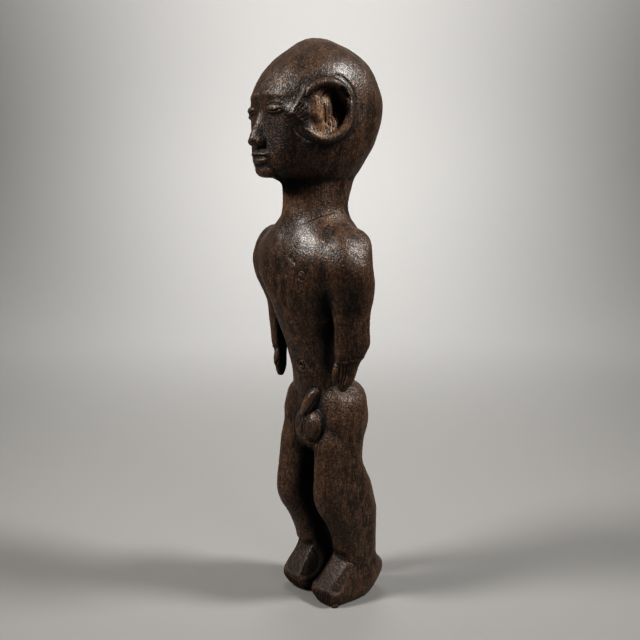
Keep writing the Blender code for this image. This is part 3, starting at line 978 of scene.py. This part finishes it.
def shelter_tree():
    """Measures of the surface for painted shade and patina in hollows and for worn edges: how
    sheltered and how proud each point is.
    """
    inputs = [
        ("Wide", "NodeSocketInt"), ("Narrow", "NodeSocketInt"), ("Wood", "NodeSocketMaterial"),
    ]
    tree, wires, values = new_tree("shelter_and_wear", inputs)
    geometry = values["Geometry"]
    position = wires.node("GeometryNodeInputPosition")
    normal = wires.node("GeometryNodeInputNormal")
    for name, passes in (("sheltered", "Wide"), ("crease", "Narrow")):
        blur = wires.node(
            "GeometryNodeBlurAttribute", {"data_type": "FLOAT_VECTOR"},
            {"Value": position, "Iterations": values[passes]},
        )
        rise = wires.vectors(
            "DOT_PRODUCT", wires.vectors("SUBTRACT", blur, position), normal, output="Value"
        )
        geometry = wires.node(
            "GeometryNodeStoreNamedAttribute", {"data_type": "FLOAT", "domain": "POINT"},
            {"Geometry": geometry, "Name": name, "Value": rise * 1000.0},
        )
    end_tree(wires, geometry, values["Wood"])
    return tree


def add_point_values(mesh, name, values):
    attribute = mesh.attributes.new(name, "FLOAT", "POINT")
    attribute.data.foreach_set("value", values.astype(np.float32))


def rough_cut_shares(mesh):
    """How strongly the knife cuts show: less on the face, the ears and the hands."""
    fine = detailed_places(mesh_points(mesh)).astype(float)[:, None]
    for _ in range(FINE_PLACES_FADE):
        fine = neighbour_mean(mesh, np.repeat(fine, 3, axis=1))[:, :1]
    return 1 - FINE_PLACES_LOSE * np.clip(fine[:, 0], 0, 1)


def enclosed_shares(mesh, solid_surface):
    """How much of the open air over each point is closed off by other wood."""
    holder = linked_object("coarse_holder", mesh)
    step = holder.modifiers.new("coarse", "REMESH")
    step.mode = "VOXEL"
    step.voxel_size = SHELTER_GRID
    coarse = plain_mesh(holder, "coarse_skin")
    remove_object(holder)
    shares = np.zeros(len(coarse.vertices))
    rays = hemisphere_ways(SHELTER_RAYS)
    tree = KDTree(len(coarse.vertices))
    for index, vertex in enumerate(coarse.vertices):
        turn = vertex.normal.to_track_quat("Z", "Y")
        start = vertex.co + vertex.normal * SHELTER_GRID * SHELTER_START
        struck = 0.0
        for ray in rays:
            distance = solid_surface.ray_cast(start, turn @ ray, SHELTER_REACH)[3]
            if distance is not None:
                struck += 1 - SHELTER_FAR_COUNTS * distance / SHELTER_REACH
        shares[index] = struck / len(rays)
        tree.insert(vertex.co, index)
    tree.balance()
    result = np.empty(len(mesh.vertices))
    for index, vertex in enumerate(mesh.vertices):
        found = tree.find_n(vertex.co, SHELTER_NEIGHBOURS)
        weights = np.array([1 / (distance + SHELTER_NEAREST) for _, _, distance in found])
        result[index] = (shares[[k for _, k, _ in found]] * weights).sum() / weights.sum()
    spread = np.repeat(result[:, None], 3, axis=1)
    for _ in range(SHELTER_FADE):
        spread = neighbour_mean(mesh, spread)
    return spread[:, 0]


def hemisphere_ways(count):
    """Directions spread over the upper half of a ball, more of them near its top."""
    golden = math.pi * (3 - math.sqrt(5))
    ways = []
    for k in range(count):
        flat = math.sqrt((k + 0.5) / count)
        rise = math.sqrt(1 - flat * flat)
        ways.append(Vector((flat * math.cos(golden * k), flat * math.sin(golden * k), rise)))
    return ways


def shares_near(mesh, listed):
    """For each point, the largest share that the listed places give it."""
    places = to_layout(mesh_points(mesh))
    head = turned(places, -HEAD_TURN, HEAD_AXIS_AHEAD)
    shares = np.zeros(len(places))
    for side, ahead, height, reach, share in listed:
        base = head if height > HEAD_FROM else places
        offset = (np.abs(base[:, 0]) - side, base[:, 1] - ahead, base[:, 2] - height)
        distance = np.linalg.norm(offset, axis=0)
        shares = np.maximum(shares, share * np.clip(SHARE_FADE - SHARE_FADE * distance / reach, 0, 1))
    return shares


def wood_material(settings):
    """Dark oiled hardwood: long pores, worn edges, patina and painted shade in hollows, painted shade
    in listed places and painted light on the neck.
    """
    material = bpy.data.materials.new("dark_hardwood")
    material.use_nodes = True
    tree = material.node_tree
    shader = tree.nodes["Principled BSDF"]
    wires = Wires(tree)
    point = wires.node("ShaderNodeTexCoord", {}, {}, output="Object")
    sheltered = wires.attribute("sheltered")
    crease = wires.attribute("crease")
    enclosed = wires.attribute("enclosed")
    bare_and_painted_light = wires.attribute("bare_wood_and_painted_light")
    polished = wires.attribute("polished")

    stretched = wires.vectors("MULTIPLY", point, GRAIN_STRETCH)
    pores = 1.0 - wires.noise(stretched, PORE_SCALE, 2.0, 0.6).between(0.36, 0.46)
    fibre = wires.noise(stretched, FIBRE_SCALE, 3.0, 0.65)
    speck = wires.noise(point, SPECK_SCALE, 2.0, 0.6)
    mottle = wires.noise(point, MOTTLE_SCALE, 5.0, 0.68)
    grit = wires.noise(point, GRIT_SCALE, 3.0, 0.65)
    leather = wires.cells(wires.vectors("MULTIPLY", point, LEATHER_STRETCH), LEATHER_SCALE)

    tone = speck * 1.9 + fibre * 2.0 + mottle * 0.8 - polished * 0.15 - 2.35
    edge = (-crease).between(0.01, 0.10) * grit.between(0.35, 0.6, 0.3, 1.0)
    worn = (edge * 0.5 + tone.between(-0.15, 0.6)).at_most(1.0)
    # painted shade and patina in wide hollows and narrow creases
    hollow_shade_and_patina = (sheltered.between(0.2, 1.4) + crease.between(0.02, 0.12)).at_most(1.0)
    # painted shade and patina where other wood closes off the air, and painted shade in the listed
    # places
    painted_shade_and_patina = (enclosed.between(0.13, 0.40) + wires.attribute("painted_shade")).at_most(1.0)
    # bare wood, and painted light on the neck
    bare_and_painted_light = bare_and_painted_light * grit.between(0.35, 0.6, 0.35, 1.0)
    colour = wires.mixed(worn, settings.heart[:], settings.worn[:])
    colour = wires.mixed(bare_and_painted_light, colour, settings.bare_and_painted_light[:])
    colour = wires.mixed(pores * 0.65, colour, settings.patina_and_painted_shade[:])
    colour = wires.mixed(hollow_shade_and_patina * (1.0 - bare_and_painted_light * 0.6) * 0.85, colour, settings.patina_and_painted_shade[:])
    colour = wires.mixed(painted_shade_and_patina * (1.0 - bare_and_painted_light * 0.7) * 0.95, colour, settings.patina_and_painted_shade[:])
    wires.join(colour, shader.inputs["Base Color"])

    roughness = 0.31 + grit * 0.22 + pores * 0.15 + hollow_shade_and_patina * 0.2 + painted_shade_and_patina * 0.4 - polished * 0.13
    wires.join(roughness, shader.inputs["Roughness"])
    wires.join(polished * (1.0 - painted_shade_and_patina) * 0.5, shader.inputs["Coat Weight"])
    shader.inputs["Coat Roughness"].default_value = COAT_ROUGHNESS
    relief = leather * 0.5 + grit * 0.8 + mottle * 0.7 - pores * 0.4
    bump = wires.node(
        "ShaderNodeBump", {},
        {"Strength": BUMP_STRENGTH, "Distance": BUMP_HEIGHT, "Height": relief},
    )
    wires.join(bump, shader.inputs["Normal"])
    shader.inputs["Specular IOR Level"].default_value = WOOD_GLOSS
    return material


class OBJECT_OT_carved_figure(bpy.types.Operator):
    """Make the carved wooden figure over its solid"""

    bl_idname = "object.carved_figure"
    bl_label = "Carved Figure"
    bl_options = {"REGISTER", "UNDO"}

    def execute(self, context):
        settings = context.scene.carving_figure
        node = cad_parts.get("figure")
        if node is None:
            raise RuntimeError("the frame has no solid named figure")
        wood = wood_material(context.scene.carving_wood)
        skin = skin_mesh(node, settings.skin_size, settings.softening)
        refined(skin, detailed_places(face_middles(skin)))
        carve_forms(skin)

        surface = mesh_surface(skin)
        grooves = lines_object(
            "grooves", surface,
            BODY_LINES + both_sides(BODY_PAIRED_LINES, mirrored_line),
            HEAD_LINES + both_sides(HEAD_PAIRED_LINES, mirrored_line),
        )
        ridges = lines_object("ridges", surface, both_sides(RAISED_PAIRED_LINES, mirrored_line), [])
        refined(skin, near_lines(skin, grooves, LINE_SPLIT_REACH))
        triangulate(skin)
        add_point_values(skin, "rough_cut", rough_cut_shares(skin))
        add_point_values(skin, "bare_wood_and_painted_light", shares_near(skin, BARE_AND_LIT_PLACES))
        add_point_values(skin, "polished", shares_near(skin, POLISHED_PLACES))
        # painted shade under the arms and the chin, between the legs and on the tops of the feet
        add_point_values(skin, "painted_shade", shares_near(skin, PAINTED_SHADE_PLACES))
        # painted shade and patina, darker the more other wood closes off the air over a point
        add_point_values(skin, "enclosed", enclosed_shares(skin, mesh_surface(skin)))

        figure = linked_object("carved_figure", skin)
        cuts = {
            "Cut Width": settings.cut_width, "Cut Depth": settings.cut_depth,
            "Seed": settings.seed, "Wood": wood,
        }
        add_tree(figure, knife_cut_tree(), cuts)
        line_tree = knife_line_tree()
        add_tree(figure, line_tree, {"Lines": grooves, "Depth": settings.line_depth, "Wood": wood})
        add_tree(figure, line_tree, {"Lines": ridges, "Depth": RIDGE_DEPTH, "Wood": wood})
        passes = {"Wide": WIDE_PASSES, "Narrow": NARROW_PASSES, "Wood": wood}
        add_tree(figure, shelter_tree(), passes)
        finished = plain_mesh(figure, "carved_figure")
        figure.modifiers.clear()
        figure.data = finished
        finished.materials.clear()
        finished.materials.append(wood)
        finished.shade_smooth()
        remove_object(grooves)
        remove_object(ridges)
        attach(figure, "root")
        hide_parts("figure")
        return {"FINISHED"}


def triangulate(mesh):
    work = bmesh.new()
    work.from_mesh(mesh)
    bmesh.ops.triangulate(work, faces=work.faces)
    work.to_mesh(mesh)
    work.free()


def stage_material(colour):
    material = bpy.data.materials.new("pale_seamless_paper")
    material.use_nodes = True
    shader = material.node_tree.nodes["Principled BSDF"]
    shader.inputs["Base Color"].default_value = colour
    shader.inputs["Roughness"].default_value = FLOOR_ROUGHNESS
    return material


def sweep_mesh(radius):
    """A round floor that curves up into a wall all round."""
    arc = np.linspace(0, math.pi / 2, BEND_RINGS)
    profile = [(radius * share, 0.0) for share in np.linspace(0.02, 1, FLOOR_RINGS)]
    for a in arc[1:]:
        profile.append((radius + FLOOR_BEND * math.sin(a), FLOOR_BEND * (1 - math.cos(a))))
    profile.append((radius + FLOOR_BEND, FLOOR_BEND + WALL_HEIGHT))
    work = bmesh.new()
    rings = []
    for reach, height in profile:
        ring = []
        for k in range(FLOOR_SIDES):
            angle = 2 * math.pi * k / FLOOR_SIDES
            ring.append(work.verts.new((reach * math.cos(angle), reach * math.sin(angle), height)))
        rings.append(ring)
    for low, high in zip(rings, rings[1:]):
        for k in range(FLOOR_SIDES):
            after = (k + 1) % FLOOR_SIDES
            work.faces.new((low[k], high[k], high[after], low[after]))
    work.faces.new(rings[0])
    mesh = bpy.data.meshes.new("studio_floor")
    bmesh.ops.recalc_face_normals(work, faces=work.faces)
    work.to_mesh(mesh)
    work.free()
    mesh.shade_smooth()
    return mesh


def area_light(name, where, aim, size, power, spread, colour=(1, 1, 1)):
    light = bpy.data.lights.new(name, "AREA")
    light.shape = "DISK"
    light.size = size
    light.energy = power
    light.color = colour
    light.spread = math.radians(spread)
    holder = linked_object(name, light)
    holder.location = where
    holder.rotation_euler = (Vector(aim) - Vector(where)).to_track_quat("-Z", "Y").to_euler()
    return holder


def around(azimuth, elevation, distance):
    """A place round the figure, in degrees from its front and from the floor."""
    a = math.radians(azimuth)
    e = math.radians(elevation)
    flat = distance * math.cos(e)
    return (flat * math.sin(a), -flat * math.cos(a), distance * math.sin(e) + MIDDLE_HEIGHT)


class OBJECT_OT_studio_stage(bpy.types.Operator):
    """Make the floor, the lights and the camera"""

    bl_idname = "object.studio_stage"
    bl_label = "Studio Stage"
    bl_options = {"REGISTER", "UNDO"}

    def execute(self, context):
        settings = context.scene.carving_stage
        floor = linked_object("studio_floor", sweep_mesh(settings.floor_radius))
        floor.data.materials.append(stage_material(settings.floor_colour))

        middle = (0, 0, MIDDLE_HEIGHT)
        area_light(
            "left_light", where=around(-22, 40, 1.2), aim=middle,
            size=0.36, power=2.95, spread=75, colour=(1.0, 0.98, 0.95),
        )
        area_light(
            "right_light", where=around(128, 44, 1.2), aim=middle,
            size=0.30, power=2.9, spread=75, colour=(1.0, 0.99, 0.97),
        )
        area_light(
            "side_light", where=around(80, 18, 1.3), aim=middle,
            size=0.60, power=0.6, spread=75, colour=(0.97, 0.98, 1.0),
        )
        area_light(
            "wall_light", where=(-0.5, 0.42, 1.3), aim=(-1.55, 1.33, 1.14),
            size=1.1, power=22.0, spread=104,
        )
        area_light(
            "back_light", where=(-0.85, 0.72, 1.5), aim=(-0.92, 0.78, 0.0),
            size=0.8, power=12.6, spread=88,
        )

        world = bpy.data.worlds.new("studio_air")
        world.use_nodes = True
        background = world.node_tree.nodes["Background"]
        background.inputs["Color"].default_value = WORLD_COLOUR
        background.inputs["Strength"].default_value = WORLD_STRENGTH
        context.scene.world = world

        camera = bpy.data.cameras.new("camera")
        camera.lens = settings.lens
        camera.sensor_width = SENSOR_WIDTH
        camera.clip_start = 0.01
        holder = linked_object("camera", camera)
        holder.location = CAMERA_PLACE
        flat = math.cos(CAMERA_DIP)
        look = Vector((
            -math.sin(CAMERA_AZIMUTH) * flat, math.cos(CAMERA_AZIMUTH) * flat,
            -math.sin(CAMERA_DIP),
        ))
        holder.rotation_euler = look.to_track_quat("-Z", "Y").to_euler()
        context.scene.camera = holder
        context.scene.view_settings.view_transform = "Standard"
        context.scene.view_settings.look = "High Contrast"
        return {"FINISHED"}


class VIEW3D_PT_carving(bpy.types.Panel):
    """Shows the settings of the carved figure, its wood and its stage, with the buttons that make
    them
    """

    bl_idname = "VIEW3D_PT_carving"
    bl_label = "Carved Figure"
    bl_space_type = "VIEW_3D"
    bl_region_type = "UI"
    bl_category = "Carving"

    def draw(self, context):
        groups = (
            (context.scene.carving_figure, OBJECT_OT_carved_figure.bl_idname),
            (context.scene.carving_wood, None),
            (context.scene.carving_stage, OBJECT_OT_studio_stage.bl_idname),
        )
        for settings, operator in groups:
            for name in settings.__annotations__:
                self.layout.prop(settings, name)
            if operator:
                self.layout.operator(operator)


CLASSES = (
    FigureSettings, WoodSettings, StageSettings,
    OBJECT_OT_carved_figure, OBJECT_OT_studio_stage, VIEW3D_PT_carving,
)


def register():
    for item in CLASSES:
        bpy.utils.register_class(item)
    bpy.types.Scene.carving_figure = bpy.props.PointerProperty(type=FigureSettings)
    bpy.types.Scene.carving_wood = bpy.props.PointerProperty(type=WoodSettings)
    bpy.types.Scene.carving_stage = bpy.props.PointerProperty(type=StageSettings)


def unregister():
    del bpy.types.Scene.carving_stage
    del bpy.types.Scene.carving_wood
    del bpy.types.Scene.carving_figure
    for item in reversed(CLASSES):
        bpy.utils.unregister_class(item)


def main():
    register()
    bpy.ops.object.carved_figure()
    bpy.ops.object.studio_stage()


if __name__ == "__main__":
    main()
